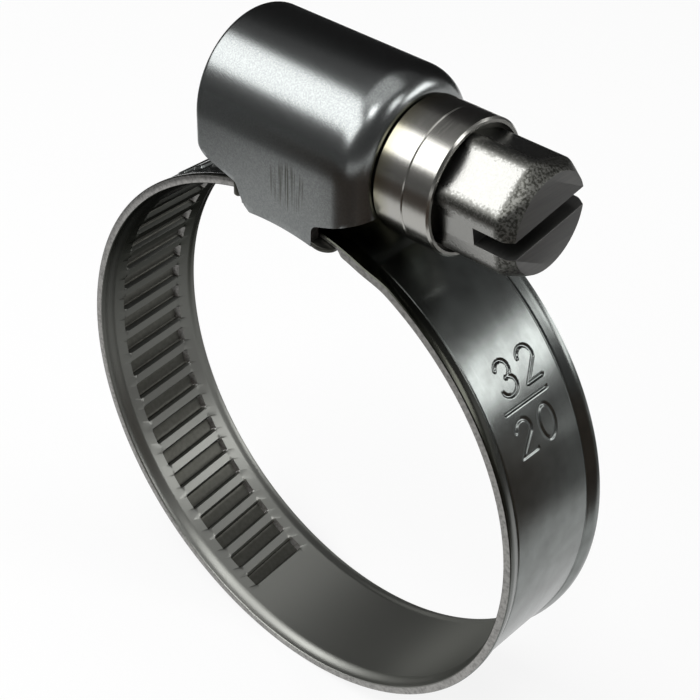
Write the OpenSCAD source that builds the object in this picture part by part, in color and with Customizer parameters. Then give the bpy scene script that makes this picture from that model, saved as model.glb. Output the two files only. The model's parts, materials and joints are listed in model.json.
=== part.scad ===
// Worm-drive hose clamp: a steel band bent to a ring, closed by a screw that runs on the band's teeth.
// Frame: the ring's axis lies along Y with the origin at its centre, the housing sits on top (+Z),
// and the screw lies along X with its head towards +X. The clamp is drawn fully open.
// Angles round the ring are counted from the top (+Z) towards +X.

/* [Band] */
// Inner radius of the ring with the clamp fully open
hose_r = 18; // [15:0.5:24]
// Width of the band
band_w = 9; // [8:0.5:12]
// Thickness of the strip
band_t = 0.6; // [0.5:0.05:0.8]
// Width of each flared rim
rim_w = 1.05; // [0.6:0.05:1.4]
// How far the rims flare outward
rim_lift = 0.25; // [0.1:0.05:0.4]
// Angle before the top where the toothed part begins
toothed_angle = 168; // [150:1:172]
// Angle past the top where the toothed tail ends
tail_angle = 9; // [8:0.5:12]
// Reach of the flat anchored end in front of the ring's top
anchor_front = 5.3; // [4.5:0.1:6.5]

/* [Teeth] */
// Teeth that a full circle of the toothed part would hold
tooth_count = 60; // [54:1:66]
// Height of a tooth above the strip, and depth of its groove on the inside
tooth_h = 0.25; // [0.15:0.05:0.3]
// Length of a tooth across the band
tooth_len = 5.1; // [4:0.1:6]
// Width of a tooth along the band
tooth_w = 0.95; // [0.7:0.05:1.1]

/* [Housing] */
// Sheet thickness of the housing shell
shell_t = 0.65; // [0.5:0.05:0.8]
// Length of the shell behind the ring's top
shell_back = 6.8; // [5.5:0.1:8]
// Length of the shell in front of the ring's top
shell_front = 6.2; // [5:0.1:7]
// Radius of the rounded shoulder at the head end
shoulder_r = 1.5; // [0.8:0.1:2]
// Reach behind the top of the skirts that come down to the hose
skirt_back = 2.4; // [1.5:0.1:3.2]
// Reach in front of the top of the skirts that come down to the hose
skirt_front = 2.8; // [2.4:0.05:3.8]
// Radius of the corner where the front end of a skirt turns up
notch_r = 0.6; // [0.3:0.1:0.8]

/* [Saddle plate] */
// Thickness of the saddle plate
plate_t = 0.6; // [0.4:0.05:0.8]
// Reach of the saddle plate behind the ring's top
plate_back = 3.6; // [3:0.1:5]
// Reach of the saddle plate in front of the ring's top
plate_front = 2; // [1:0.1:3]

/* [Screw] */
// Outer radius of the worm thread
thread_r = 3.3; // [3:0.1:3.8]
// Height of the worm thread
thread_h = 0.55; // [0.4:0.05:0.7]
// Width of the thread at its crest
crest_w = 0.4; // [0.3:0.05:0.5]
// Width of the thread at its root
root_w = 0.75; // [0.6:0.05:0.9]
// Radius of the neck that turns in the head end of the shell
neck_r = 1.8; // [1.4:0.1:2]
// Radius of the tip that turns in the back end of the shell
tip_r = 1.6; // [1.2:0.1:2]
// Radius of the round collar between the shell and the hexagon
collar_r = 4.1; // [3.9:0.05:4.4]
// Length of the round collar
collar_len = 4; // [2.8:0.1:5]
// Length of the hexagon
hex_len = 5.1; // [4:0.1:8]
// Width across the flats of the hexagon
hex_af = 6.5; // [6:0.5:8]
// How far the hexagon's corners are rounded off
corner_cut = 0.12; // [0.05:0.01:0.3]
// Turn of the driver slot about the screw's axis
slot_angle = 10; // [0:1:59]
// Turn of the hexagon from the slot
flats_angle = 33; // [0:1:59]
// Radius of the end face inside its chamfer
end_r = 3.1; // [2.6:0.1:3.3]
// Length of the chamfer round the end of the head
head_chamfer = 0.5; // [0.2:0.05:0.8]
// Width of the driver slot
slot_w = 1.2; // [0.8:0.1:1.6]
// Depth of the driver slot
slot_d = 2.6; // [1.5:0.1:3.5]

/* [Clearances] */
// Gap between the passing toothed part and what lies under it
slide_gap = 0.06; // [0.04:0.01:0.15]
// Gap between the band's edges and the shell's walls
side_gap = 0.1; // [0.05:0.05:0.2]
// Gap between the passing teeth and the parts above them
pass_gap = 0.1; // [0.05:0.05:0.2]
// Gap round the neck and the tip in their holes
run_gap = 0.05; // [0.02:0.01:0.1]
// Gap between a thread crest and the strip
root_gap = 0.05; // [0.03:0.01:0.1]
// Gap along the screw between turning and still faces
end_gap = 0.1; // [0.05:0.05:0.2]
// Gap between neighbouring links of the plain band
link_gap = 0.04; // [0.02:0.02:0.1]

/* [Hidden] */
$fn = 96;

// Links that stand for the flexible plain band
link_count = 10;

// The toothed part is one arc that slides along itself. Its centre stands above the ring's centre, so that it
// starts level with the plain band and passes one layer outside it under the screw.
track_r = hose_r + max(band_t, plate_t) + slide_gap;
toothed_z = (track_r - hose_r) / (1 - cos(toothed_angle));
toothed_r = track_r - toothed_z;
tooth_top_r = toothed_r + band_t + tooth_h;
tooth_step = 360 / tooth_count;

// The thread's lead is the tooth pitch at half the tooth's height
lead = 2 * PI * (toothed_r + band_t + tooth_h / 2) / tooth_count;
lead_angle = atan(lead / (2 * PI * thread_r));
screw_z = track_r + band_t + root_gap + thread_r;

// Housing: inner half width, outer half width, and the top of the window that the teeth pass through
bay_w = band_w / 2 + side_gap;
shell_r = bay_w + shell_t;
window_z = track_r + band_t + tooth_h + pass_gap;
// The walls' lower edge climbs above the window at both ends, and dips below it towards the skirts
back_rise = 0.75;
front_rise = 0.8;
notch_drop = 0.3;
skirt_drop = 0.15;
// The skirts' back ends slant: their length, how far they fall, and their lean below that
skirt_slope = 1.1;
skirt_fall = 1.4;
skirt_lean = 0.55;
below = hose_r - 3;

// Screw: stations along X
worm_back = -shell_back + shell_t + end_gap;
worm_front = shell_front - shell_t - end_gap;
collar_x = shell_front + end_gap;
hex_x = collar_x + collar_len;
head_x = hex_x + hex_len;
corner_r = hex_af / 2 / cos(30);
head_r = corner_r - corner_cut;
// The passing teeth leave room for the whole collar only from collar_full_x on, so it widens up to there
pass_z = screw_z - toothed_z - pass_gap;
collar_start_r = min(collar_r, pass_z - sqrt(tooth_top_r ^ 2 - collar_x ^ 2));
collar_full_x = max(collar_x, sqrt(tooth_top_r ^ 2 - (pass_z - collar_r) ^ 2));
steps_per_turn = 24;
overlap = 0.3;

// Plain band: from the front end of the saddle plate, round the ring to the start of the toothed part
plate_angle = asin(plate_front / hose_r);
link_from = asin(anchor_front / hose_r);
link_to = 360 - toothed_angle;
link_step = (link_to - link_from) / link_count;

function two_digits(k) = str(k < 10 ? "0" : "", k);
function link_name(k) = str("band_link_", two_digits(k));

// Turns a section, drawn as radius and place across the band, round the ring's axis
module ring_arc(from, to) {
    rotate([0, -90, -90]) rotate([0, 0, from]) rotate_extrude(angle = to - from) children();
}

// Turns what is drawn along Z to lie along the screw's axis
module along_screw(x = 0) {
    translate([x, 0, screw_z]) rotate([0, 90, 0]) children();
}

// Draws an outline in X and Z and gives it a thickness across the whole housing
module across(half_w) {
    translate([0, half_w, 0]) rotate([90, 0, 0]) linear_extrude(2 * half_w) children();
}

// Section of the strip: a flat field with two rims flared outward
module band_section(r) {
    edge = band_w / 2;
    field = edge - rim_w;
    polygon([
        [r, -field], [r, field], [r + rim_lift, edge], [r + rim_lift + band_t, edge],
        [r + band_t, field], [r + band_t, -field], [r + rim_lift + band_t, -edge], [r + rim_lift, -edge]
    ]);
}

// Outline of the shell from its axis outward, shrunk by the wall for the inside
module shell_profile(wall) {
    r = shell_r - wall;
    front = shell_front - wall;
    back = -shell_back + wall;
    round_r = max(shoulder_r - wall, 0.1);
    translate([0, back]) square([r, front - back - round_r]);
    translate([0, back]) square([r - round_r, front - back]);
    translate([r - round_r, front - round_r]) circle(round_r);
}

// Upper half of the shell: the profile turned half round the screw's axis
module shell_arch(wall) {
    along_screw() rotate([0, 0, 90]) rotate_extrude(angle = 180) shell_profile(wall);
}

// Lower half of the shell: straight walls with the same rounded front corners
module shell_walls(wall) {
    translate([0, 0, below]) linear_extrude(screw_z - below) rotate(-90) {
        shell_profile(wall);
        mirror([1, 0]) shell_profile(wall);
    }
}

// What is cut away under the back end of the walls
module back_relief() {
    polygon([
        [-shell_back - 1, window_z + back_rise], [-shell_back, window_z + back_rise],
        [-skirt_back - skirt_slope, window_z - skirt_drop], [-skirt_back, window_z - skirt_fall],
        [-skirt_back + skirt_lean, below], [-shell_back - 1, below]
    ]);
}

// What is cut away under the front end of the walls, with a round inner corner
module front_relief() {
    corner_z = window_z - notch_drop;
    translate([skirt_front, below]) square([notch_r, corner_z - notch_r - below]);
    translate([skirt_front + notch_r, corner_z - notch_r]) circle(notch_r);
    polygon([
        [skirt_front + notch_r, below], [skirt_front + notch_r, corner_z],
        [shell_front, window_z + front_rise], [shell_front + 1, window_z + front_rise], [shell_front + 1, below]
    ]);
}

module housing_shell() color("silver") difference() {
    union() {
        shell_arch(0);
        shell_walls(0);
    }
    shell_arch(shell_t);
    shell_walls(shell_t);
    // Window through both ends for the band
    translate([-shell_back - 1, -bay_w, below])
        cube([shell_back + shell_front + 2, 2 * bay_w, window_z - below]);
    // Skirts end on the hose
    across(shell_r + 1) circle(hose_r);
    across(shell_r + 1) back_relief();
    across(shell_r + 1) front_relief();
    along_screw(shell_front - shell_t - 1) cylinder(r = neck_r + run_gap, h = shell_t + 2);
    along_screw(-shell_back - 1) cylinder(r = tip_r + run_gap, h = shell_t + 2);
}

module saddle_plate() color("darkgray") {
    ring_arc(-asin(plate_back / hose_r), plate_angle)
        translate([hose_r, -bay_w]) square([plate_t, 2 * bay_w]);
}

// The thread's outline over one turn: place along the screw and radius
thread_outline = [
    [-lead / 2, thread_r - thread_h], [-root_w / 2, thread_r - thread_h], [-crest_w / 2, thread_r],
    [crest_w / 2, thread_r], [root_w / 2, thread_r - thread_h]
];

// The worm: the outline swept along a right-hand helix, each turn meeting the next
module worm_sweep() {
    n = len(thread_outline);
    turns = ceil((worm_front - worm_back) / lead) + 2;
    last = turns * steps_per_turn;
    // A crest passes the bottom of the worm half a pitch from the tooth at the ring's top
    first_turn = floor(worm_back / lead) - 1;
    function station(i) = let (a = 360 * i / steps_per_turn - 90)
        [for (p = thread_outline)
            [lead * (first_turn + 0.5 + i / steps_per_turn) + p[0], p[1] * cos(a), p[1] * sin(a)]];
    function at(i, j) = i * n + j;
    start_x = lead * (first_turn + 0.5);
    points = concat(
        [for (i = [0:last]) each station(i)],
        [[start_x, 0, 0], [start_x + lead * turns, 0, 0]]
    );
    sides = [for (i = [0:last - 1], j = [0:n - 2]) each [
        [at(i, j), at(i, j + 1), at(i + 1, j + 1)], [at(i, j), at(i + 1, j + 1), at(i + 1, j)]]];
    joins = [for (i = [0:last - steps_per_turn - 1]) let (k = i + steps_per_turn) each [
        [at(i, n - 1), at(k, 0), at(k + 1, 0)], [at(i, n - 1), at(k + 1, 0), at(i + 1, n - 1)]]];
    start_rim = concat(
        [for (i = [0:steps_per_turn]) at(i, 0)], [for (j = [n - 1:-1:1]) at(0, j)]);
    end_rim = concat(
        [for (i = [last:-1:last - steps_per_turn]) at(i, n - 1)], [for (j = [0:n - 2]) at(last, j)]);
    start_cap = [for (k = [0:len(start_rim) - 1])
        [start_rim[k], start_rim[(k + 1) % len(start_rim)], len(points) - 2]];
    end_cap = [for (k = [0:len(end_rim) - 1])
        [end_rim[k], end_rim[(k + 1) % len(end_rim)], len(points) - 1]];
    polyhedron(points, concat(sides, joins, start_cap, end_cap));
}

// The head: a hexagon chamfered at its end and slotted
module screw_head() {
    along_screw(hex_x) rotate(slot_angle) difference() {
        intersection() {
            rotate(30 + flats_angle) cylinder(r = corner_r, h = hex_len, $fn = 6);
            union() {
                cylinder(r = head_r, h = hex_len - head_chamfer);
                translate([0, 0, hex_len - head_chamfer]) cylinder(r1 = head_r, r2 = end_r, h = head_chamfer);
            }
        }
        translate([-slot_w / 2, -hex_af, hex_len - slot_d]) cube([slot_w, 2 * hex_af, slot_d + 1]);
    }
}

module worm_screw() color("lightgray") {
    intersection() {
        translate([0, 0, screw_z]) worm_sweep();
        along_screw(worm_back) cylinder(r = thread_r + 1, h = worm_front - worm_back);
    }
    along_screw(-shell_back) cylinder(r = tip_r, h = worm_back + overlap + shell_back);
    along_screw(worm_front - overlap) cylinder(r = neck_r, h = collar_x - worm_front + 2 * overlap);
    if (collar_full_x > collar_x)
        along_screw(collar_x) cylinder(r1 = collar_start_r, r2 = collar_r, h = collar_full_x - collar_x);
    along_screw(collar_full_x) cylinder(r = collar_r, h = hex_x - collar_full_x);
    screw_head();
}

// One block per tooth, set along the helix at a given radius
module tooth_blocks(r) {
    first = ceil((-toothed_angle + tooth_step / 2) / tooth_step);
    last = floor((tail_angle - tooth_step / 4) / tooth_step);
    translate([0, 0, toothed_z]) for (k = [first:last])
        rotate([0, k * tooth_step, 0]) translate([0, 0, r]) rotate([0, 0, -lead_angle])
            cube([tooth_w, tooth_len, 2 * tooth_h], center = true);
}

module band_toothed_end() color("gainsboro") difference() {
    union() {
        translate([0, 0, toothed_z]) ring_arc(-toothed_angle, tail_angle) band_section(toothed_r);
        tooth_blocks(toothed_r + band_t);
    }
    tooth_blocks(toothed_r);
}

module band_anchor_end() color("gainsboro") {
    ring_arc(plate_angle, link_from - link_gap / hose_r * 90 / PI)
        translate([hose_r, -band_w / 2]) square([band_t, band_w]);
}

module band_link(k) color("gainsboro") {
    half_gap = link_gap / hose_r * 90 / PI;
    ring_arc(link_from + (k - 1) * link_step + half_gap, link_from + k * link_step - half_gap)
        band_section(hose_r);
}

housing_shell();
saddle_plate();
worm_screw();
band_toothed_end();
band_anchor_end();
for (k = [1:link_count])
    band_link(k);
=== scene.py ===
# %% [markdown]
# # Worm-drive hose clamp
#
# A hose clamp is a steel strip bent to a ring. One end of the strip is held in a small pressed housing. The
# other end has teeth, passes through the housing, and is pulled along by a screw that lies on top of it.
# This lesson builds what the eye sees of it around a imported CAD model, which gives every place and size.

# %% Load the frame
import json
import math

import bmesh
import bpy
from mathutils import Matrix, Vector


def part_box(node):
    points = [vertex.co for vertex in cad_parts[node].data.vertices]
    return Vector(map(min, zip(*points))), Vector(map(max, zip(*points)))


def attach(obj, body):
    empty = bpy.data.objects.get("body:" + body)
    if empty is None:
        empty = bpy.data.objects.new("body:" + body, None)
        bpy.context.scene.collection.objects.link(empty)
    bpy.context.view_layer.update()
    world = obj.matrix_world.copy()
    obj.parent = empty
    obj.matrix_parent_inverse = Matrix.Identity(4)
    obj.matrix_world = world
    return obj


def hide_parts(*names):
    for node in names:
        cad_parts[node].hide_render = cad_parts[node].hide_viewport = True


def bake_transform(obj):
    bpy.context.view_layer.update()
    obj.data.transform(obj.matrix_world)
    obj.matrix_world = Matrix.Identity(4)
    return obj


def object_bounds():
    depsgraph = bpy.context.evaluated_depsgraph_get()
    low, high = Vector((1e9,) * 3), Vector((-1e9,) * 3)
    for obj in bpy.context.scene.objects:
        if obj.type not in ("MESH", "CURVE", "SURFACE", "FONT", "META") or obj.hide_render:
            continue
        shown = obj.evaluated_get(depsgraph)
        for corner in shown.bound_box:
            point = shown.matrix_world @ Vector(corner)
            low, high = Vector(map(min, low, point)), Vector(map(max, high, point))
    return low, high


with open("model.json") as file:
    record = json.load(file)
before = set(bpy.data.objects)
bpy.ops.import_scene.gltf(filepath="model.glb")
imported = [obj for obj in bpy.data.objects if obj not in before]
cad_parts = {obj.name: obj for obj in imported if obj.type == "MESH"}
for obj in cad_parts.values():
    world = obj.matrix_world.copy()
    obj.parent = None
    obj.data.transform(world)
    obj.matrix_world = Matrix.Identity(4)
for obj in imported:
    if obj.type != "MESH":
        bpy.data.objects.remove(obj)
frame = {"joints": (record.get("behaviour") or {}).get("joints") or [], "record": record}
cad_box = [list(corner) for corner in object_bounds()]

# %% [markdown]
# ## Sizes from the frame
#
# The record holds the joints and the mount, and each CAD node has a box. Most sizes are read from them, so
# the pieces follow the CAD model if it changes. Blender works in metres, and one named value keeps the
# millimetres readable.

# %% Read the sizes
mm = 0.001
joints = {joint["name"]: joint for joint in frame["joints"]}
hose_bore = next(m for m in frame["record"]["mounts"] if m["name"] == "hose_bore")
hose_r = hose_bore["dims"]["r_mm"] * mm
screw_z = joints["screw_turn"]["pos_m"][2]
toothed_z = joints["band_feed"]["pos_m"][2]
bend_names = sorted(name for name in joints if name.startswith("bend_"))

link_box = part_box("band_link_05")
shell_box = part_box("housing_shell")
screw_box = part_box("worm_screw")
plate_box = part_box("saddle_plate")
band_half = link_box[1].y
plate_half = plate_box[1].y
band_t = 0.6 * mm
print(f"ring {2 * hose_r / mm:.1f} mm inside, band {2 * band_half / mm:.1f} mm wide")

# %% [markdown]
# ## Camera
#
# The photograph looks down on the clamp from the front right. The camera stands at that angle and distance
# and is aimed at the ring's centre. The ring isn't in the middle of the picture. Turning the camera to
# match would change the perspective, so the lens is shifted instead.

# %% Place the camera
view_azimuth = math.radians(42.46)
view_elevation = math.radians(39.41)
view_roll = math.radians(1.43)
view_distance = 103.67 * mm
picture_px = 700
focal_px = 1525.15
centre_px = Vector((-18.25, 72.01))
sensor_mm = 36

back = Vector((
    math.sin(view_azimuth) * math.cos(view_elevation),
    -math.cos(view_azimuth) * math.cos(view_elevation),
    math.sin(view_elevation),
))
level = Vector((math.cos(view_azimuth), math.sin(view_azimuth), 0))
turned = Matrix.Rotation(view_roll, 3, back)
right = turned @ level
up = back.cross(right)

lens = bpy.data.cameras.new("camera")
lens.sensor_width = sensor_mm
lens.lens = focal_px / picture_px * sensor_mm
lens.shift_x = -centre_px.x / picture_px
lens.shift_y = centre_px.y / picture_px
lens.clip_start = 1 * mm
lens.clip_end = 10
camera = bpy.data.objects.new("camera", lens)
camera.matrix_world = Matrix((right, up, back)).transposed().to_4x4()
camera.location = back * view_distance
bpy.context.scene.collection.objects.link(camera)
bpy.context.scene.camera = camera
print(f"lens {lens.lens:.1f} mm at {view_distance / mm:.0f} mm")

# %% [markdown]
# ## Finishes
#
# All pieces are bare steel, but each was made in its own way, and that shows. A material is a small graph
# of nodes. One function adds a node with its settings and its links, and one turns a colour from a hex
# code, as a paint program shows it, to the linear values that a shader works with.

# %% Helpers for materials
def linear(code):
    channels = [int(code[i:i + 2], 16) / 255 for i in (0, 2, 4)]
    return tuple(c / 12.92 if c <= 0.04045 else ((c + 0.055) / 1.055) ** 2.4 for c in channels) + (1.0,)


def add(tree, kind, settings=None, links=None):
    """Adds a node. A setting is a socket's value, a property of the node, or a colour ramp's two stops."""
    node = tree.nodes.new(kind)
    for name, value in (settings or {}).items():
        if name == "stops":
            for element, (position, code) in zip(node.color_ramp.elements, value):
                element.position = position
                element.color = linear(code)
        elif isinstance(name, int) or name in node.inputs:
            node.inputs[name].default_value = value
        else:
            setattr(node, name, value)
    for name, source in (links or {}).items():
        tree.links.new(source, node.inputs[name])
    return node


def start_metal(name, colour, roughness):
    material = bpy.data.materials.new(name)
    material.use_nodes = True
    surface = material.node_tree.nodes["Principled BSDF"]
    surface.inputs["Base Color"].default_value = linear(colour)
    surface.inputs["Metallic"].default_value = 1.0
    surface.inputs["Roughness"].default_value = roughness
    print("finish:", name)
    return material, material.node_tree, surface


# %% [markdown]
# ### Rolled strip
#
# The band is stainless strip. Rolling leaves fine lines along it, so a noise is stretched along the strip.
# The pieces carry a UV map in metres, along and across the strip, and the pattern follows the bend. The
# near rim beside the housing is darker in its colour, which is painted shade.

# %% Rolled strip
# Cold-rolled stainless strip is a soft mirror, and its lines draw the highlights out along it
rolled_strip, tree, surface = start_metal("rolled_stainless_strip", "727470", 0.24)
strip_uv = add(tree, "ShaderNodeUVMap", {"uv_map": "strip"}).outputs["UV"]
# Real rolling lines are finer, and are drawn as coarse as they need to be to show
line_spacing = 0.12 * mm
line_length = 6 * mm
stretched = add(tree, "ShaderNodeMapping", {"Scale": (1 / line_length, 1 / line_spacing, 1)},
                {"Vector": strip_uv})
lines = add(tree, "ShaderNodeTexNoise", {"Scale": 1.0, "Detail": 3.0},
            {"Vector": stretched.outputs["Vector"]}).outputs["Fac"]
line_gloss = add(tree, "ShaderNodeMapRange", {"To Min": 0.2, "To Max": 0.28}, {"Value": lines})
tree.links.new(line_gloss.outputs["Result"], surface.inputs["Roughness"])
line_bump = add(tree, "ShaderNodeBump", {"Strength": 0.05, "Distance": 0.01 * mm}, {"Height": lines})
tree.links.new(line_bump.outputs["Normal"], surface.inputs["Normal"])
cloud_size = 1.6 * mm
clouds = add(tree, "ShaderNodeTexNoise", {"Scale": 1 / cloud_size, "Detail": 3.0}, {"Vector": strip_uv})
cloud_tone = add(tree, "ShaderNodeValToRGB", {"stops": [(0.3, "686B69"), (0.7, "7A7E7C")]},
                 {"Fac": clouds.outputs["Fac"]})
print("rolling lines", line_spacing / mm, "mm apart")

# %% Painted shade on the near rim
rim_w = 1.05 * mm
field_half = band_half - rim_w
rim_shade_soft = 0.1 * mm
rim_shade_full = 20 * mm
rim_shade_end = 36 * mm
# Painted shade: the near rim is darkened beside the housing, and the darkening fades out along the strip
strip_xy = add(tree, "ShaderNodeSeparateXYZ", None, {"Vector": strip_uv})
near_rim = add(tree, "ShaderNodeMapRange",
               {"From Min": rim_shade_soft - field_half, "From Max": -rim_shade_soft - field_half},
               {"Value": strip_xy.outputs["Y"]})
from_housing = add(tree, "ShaderNodeMath", {"operation": "ABSOLUTE"}, {0: strip_xy.outputs["X"]})
by_housing = add(tree, "ShaderNodeMapRange", {"From Min": rim_shade_end, "From Max": rim_shade_full},
                 {"Value": from_housing.outputs["Value"]})
rim_painted_shade = add(tree, "ShaderNodeMath", {"operation": "MULTIPLY"},
            {0: near_rim.outputs["Result"], 1: by_housing.outputs["Result"]})
strip_tone = add(tree, "ShaderNodeMixRGB", {"Color2": linear("3C3D37")},
                 {"Fac": rim_painted_shade.outputs["Value"], "Color1": cloud_tone.outputs["Color"]})
tree.links.new(strip_tone.outputs["Color"], surface.inputs["Base Color"])
print("grime ends", rim_shade_end / mm, "mm along the strip")

# %% [markdown]
# ### Sheared edge and oiled inside
#
# The strip was slit from a wide coil. The slit edge is duller than the rolled face and a little spotted.
# The inside is dull, and its colour is darker towards the housing, which is painted shade. The grooves of
# the teeth have darker painted shade still. One graph could mix all of these, but a finish for each kind of
# face is easier to read. The painted shade fades along the UV map, which is measured from the housing.

# %% Sheared edge
# Slit steel has a torn edge that scatters light
sheared_edge, tree, surface = start_metal("sheared_edge", "969592", 0.42)
place = add(tree, "ShaderNodeTexCoord").outputs["Object"]
tear_size = 0.2 * mm
tears = add(tree, "ShaderNodeTexNoise", {"Scale": 1 / tear_size, "Detail": 3.0},
            {"Vector": place}).outputs["Fac"]
tear_tone = add(tree, "ShaderNodeValToRGB", {"stops": [(0.3, "7A7977"), (0.6, "9E9D9A")]}, {"Fac": tears})
tree.links.new(tear_tone.outputs["Color"], surface.inputs["Base Color"])
tear_bump = add(tree, "ShaderNodeBump", {"Strength": 0.25, "Distance": 0.02 * mm}, {"Height": tears})
tree.links.new(tear_bump.outputs["Normal"], surface.inputs["Normal"])

# %% Painted shade in the grooves, and the dull inside
# Painted shade: the grooves, and the hollows and undersides with this finish, are coloured dark with a
# spotted tone
oiled_groove, tree, surface = start_metal("oiled_groove", "50504B", 0.45)
place = add(tree, "ShaderNodeTexCoord").outputs["Object"]
spot_size = 0.3 * mm
spots = add(tree, "ShaderNodeTexNoise", {"Scale": 1 / spot_size, "Detail": 2.0}, {"Vector": place})
spot_tone = add(tree, "ShaderNodeValToRGB", {"stops": [(0.35, "4C4C47"), (0.65, "54544F")]},
                {"Fac": spots.outputs["Fac"]})
tree.links.new(spot_tone.outputs["Color"], surface.inputs["Base Color"])

# The inside is dull, which blurs what the steel mirrors, and its colour is painted shade, darker near the
# housing
oiled_strip, tree, surface = start_metal("oiled_strip", "6A6B68", 0.42)
surface.inputs["Specular Tint"].default_value = linear("808080")
inside_shade_full = 20 * mm
inside_shade_end = 50 * mm
strip_uv = add(tree, "ShaderNodeUVMap", {"uv_map": "strip"}).outputs["UV"]
strip_xy = add(tree, "ShaderNodeSeparateXYZ", None, {"Vector": strip_uv})
from_housing = add(tree, "ShaderNodeMath", {"operation": "ABSOLUTE"}, {0: strip_xy.outputs["X"]})
# Painted shade: the inside is dark near the housing and lighter further along the strip
inside_shade = add(tree, "ShaderNodeMapRange", {"From Min": inside_shade_full, "From Max": inside_shade_end},
           {"Value": from_housing.outputs["Value"]})
inside_shade_tone = add(tree, "ShaderNodeValToRGB", {"stops": [(0.0, "3C3D3A"), (1.0, "A0A19C")]},
                {"Fac": inside_shade.outputs["Result"]})
tree.links.new(inside_shade_tone.outputs["Color"], surface.inputs["Base Color"])

# %% [markdown]
# ### Pressed sheet
#
# The housing was pressed from sheet, which stretched it and left a fine pebbled grain on the outside. The
# tool also left a patch of fine upright scuffs on the near wall. Both are noises on Object coordinates,
# which suit a piece that doesn't bend. The scuffs' noise is drawn out upright, and it fades with the
# distance from the patch's middle.

# %% Pressed sheet
# Pressed steel sheet is satin, and its grain breaks up the edge of a highlight
pressed_sheet, tree, surface = start_metal("pressed_steel_sheet", "80827F", 0.24)
place = add(tree, "ShaderNodeTexCoord").outputs["Object"]
pebble_size = 0.1 * mm
pebbles = add(tree, "ShaderNodeTexNoise", {"Scale": 1 / pebble_size, "Detail": 2.0},
              {"Vector": place}).outputs["Fac"]
pebble_tone = add(tree, "ShaderNodeValToRGB", {"stops": [(0.35, "797C7C"), (0.65, "858887")]},
                  {"Fac": pebbles})
pebble_bump = add(tree, "ShaderNodeBump", {"Strength": 0.25, "Distance": 0.008 * mm}, {"Height": pebbles})
tree.links.new(pebble_bump.outputs["Normal"], surface.inputs["Normal"])

# %% Scuffs on the near wall
scuff_place = (0.9 * mm, -5.25 * mm, 20.9 * mm)
scuff_w = 0.12 * mm
scuff_length = 5 * mm
scuff_full_r = 1.1 * mm
scuff_end_r = 1.7 * mm
drawn_out = add(tree, "ShaderNodeMapping", {"Scale": (1 / scuff_w, 1 / scuff_w, 1 / scuff_length)},
                {"Vector": place})
scuffs = add(tree, "ShaderNodeTexNoise", {"Scale": 1.0, "Detail": 2.0},
             {"Vector": drawn_out.outputs["Vector"]})
scuff_lines = add(tree, "ShaderNodeMapRange", {"From Min": 0.5, "From Max": 0.62},
                  {"Value": scuffs.outputs["Fac"]})
away = add(tree, "ShaderNodeVectorMath", {"operation": "DISTANCE", 1: scuff_place}, {0: place})
scuff_area = add(tree, "ShaderNodeMapRange", {"From Min": scuff_end_r, "From Max": scuff_full_r},
                 {"Value": away.outputs["Value"]})
scuffed = add(tree, "ShaderNodeMath", {"operation": "MULTIPLY"},
              {0: scuff_lines.outputs["Result"], 1: scuff_area.outputs["Result"]})
sheet_tone = add(tree, "ShaderNodeMixRGB", {"Color2": linear("545550")},
                 {"Fac": scuffed.outputs["Value"], "Color1": pebble_tone.outputs["Color"]})
tree.links.new(sheet_tone.outputs["Color"], surface.inputs["Base Color"])
print("scuffs end", scuff_end_r / mm, "mm from their middle")

# %% [markdown]
# ### Turned and forged screw steel
#
# The screw is plated steel. Its collar was turned on a lathe, which leaves fine lines round it, and its
# hexagon was forged, which leaves a coarser pebbled skin. The die pressed the middle of each flat smooth,
# and the border round it stayed rough and darker, so the distance from the screw's axis tells the two
# apart. The end and the slot were cut.

# %% Turned collar
# Turned steel is bright, with lines round it, and has a brown stain where it meets the housing
turned_steel, tree, surface = start_metal("turned_plated_steel", "A6A5A0", 0.22)
place = add(tree, "ShaderNodeTexCoord").outputs["Object"]
turning_pitch = 0.1 * mm
turning_length = 2 * mm
stain_full = 6.3 * mm
stain_end = 7.6 * mm
turn_scale = add(tree, "ShaderNodeMapping",
                 {"Scale": (1 / turning_pitch, 1 / turning_length, 1 / turning_length)}, {"Vector": place})
turnings = add(tree, "ShaderNodeTexNoise", {"Scale": 1.0, "Detail": 2.0},
               {"Vector": turn_scale.outputs["Vector"]})
turn_bump = add(tree, "ShaderNodeBump", {"Strength": 0.4, "Distance": 0.01 * mm},
                {"Height": turnings.outputs["Fac"]})
tree.links.new(turn_bump.outputs["Normal"], surface.inputs["Normal"])
along = add(tree, "ShaderNodeSeparateXYZ", None, {"Vector": place})
stain = add(tree, "ShaderNodeMapRange", {"From Min": stain_full, "From Max": stain_end},
            {"Value": along.outputs["X"]})
stain_tone = add(tree, "ShaderNodeValToRGB", {"stops": [(0.0, "8C8873"), (1.0, "A6A5A0")]},
                 {"Fac": stain.outputs["Result"]})
tree.links.new(stain_tone.outputs["Color"], surface.inputs["Base Color"])

# %% Forged hexagon
# Forged steel has a dark pebbled skin, and mirrors a lamp only where the die pressed it smooth
forged_steel, tree, surface = start_metal("forged_plated_steel", "92928F", 0.26)
place = add(tree, "ShaderNodeTexCoord").outputs["Object"]
forge_grain = 0.15 * mm
grains = add(tree, "ShaderNodeTexNoise", {"Scale": 1 / forge_grain, "Detail": 3.0},
             {"Vector": place}).outputs["Fac"]
grain_tone = add(tree, "ShaderNodeValToRGB", {"stops": [(0.4, "383834"), (0.6, "6C6C68")]}, {"Fac": grains})
grain_bump = add(tree, "ShaderNodeBump", {"Strength": 0.4, "Distance": 0.02 * mm}, {"Height": grains})
tree.links.new(grain_bump.outputs["Normal"], surface.inputs["Normal"])

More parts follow.
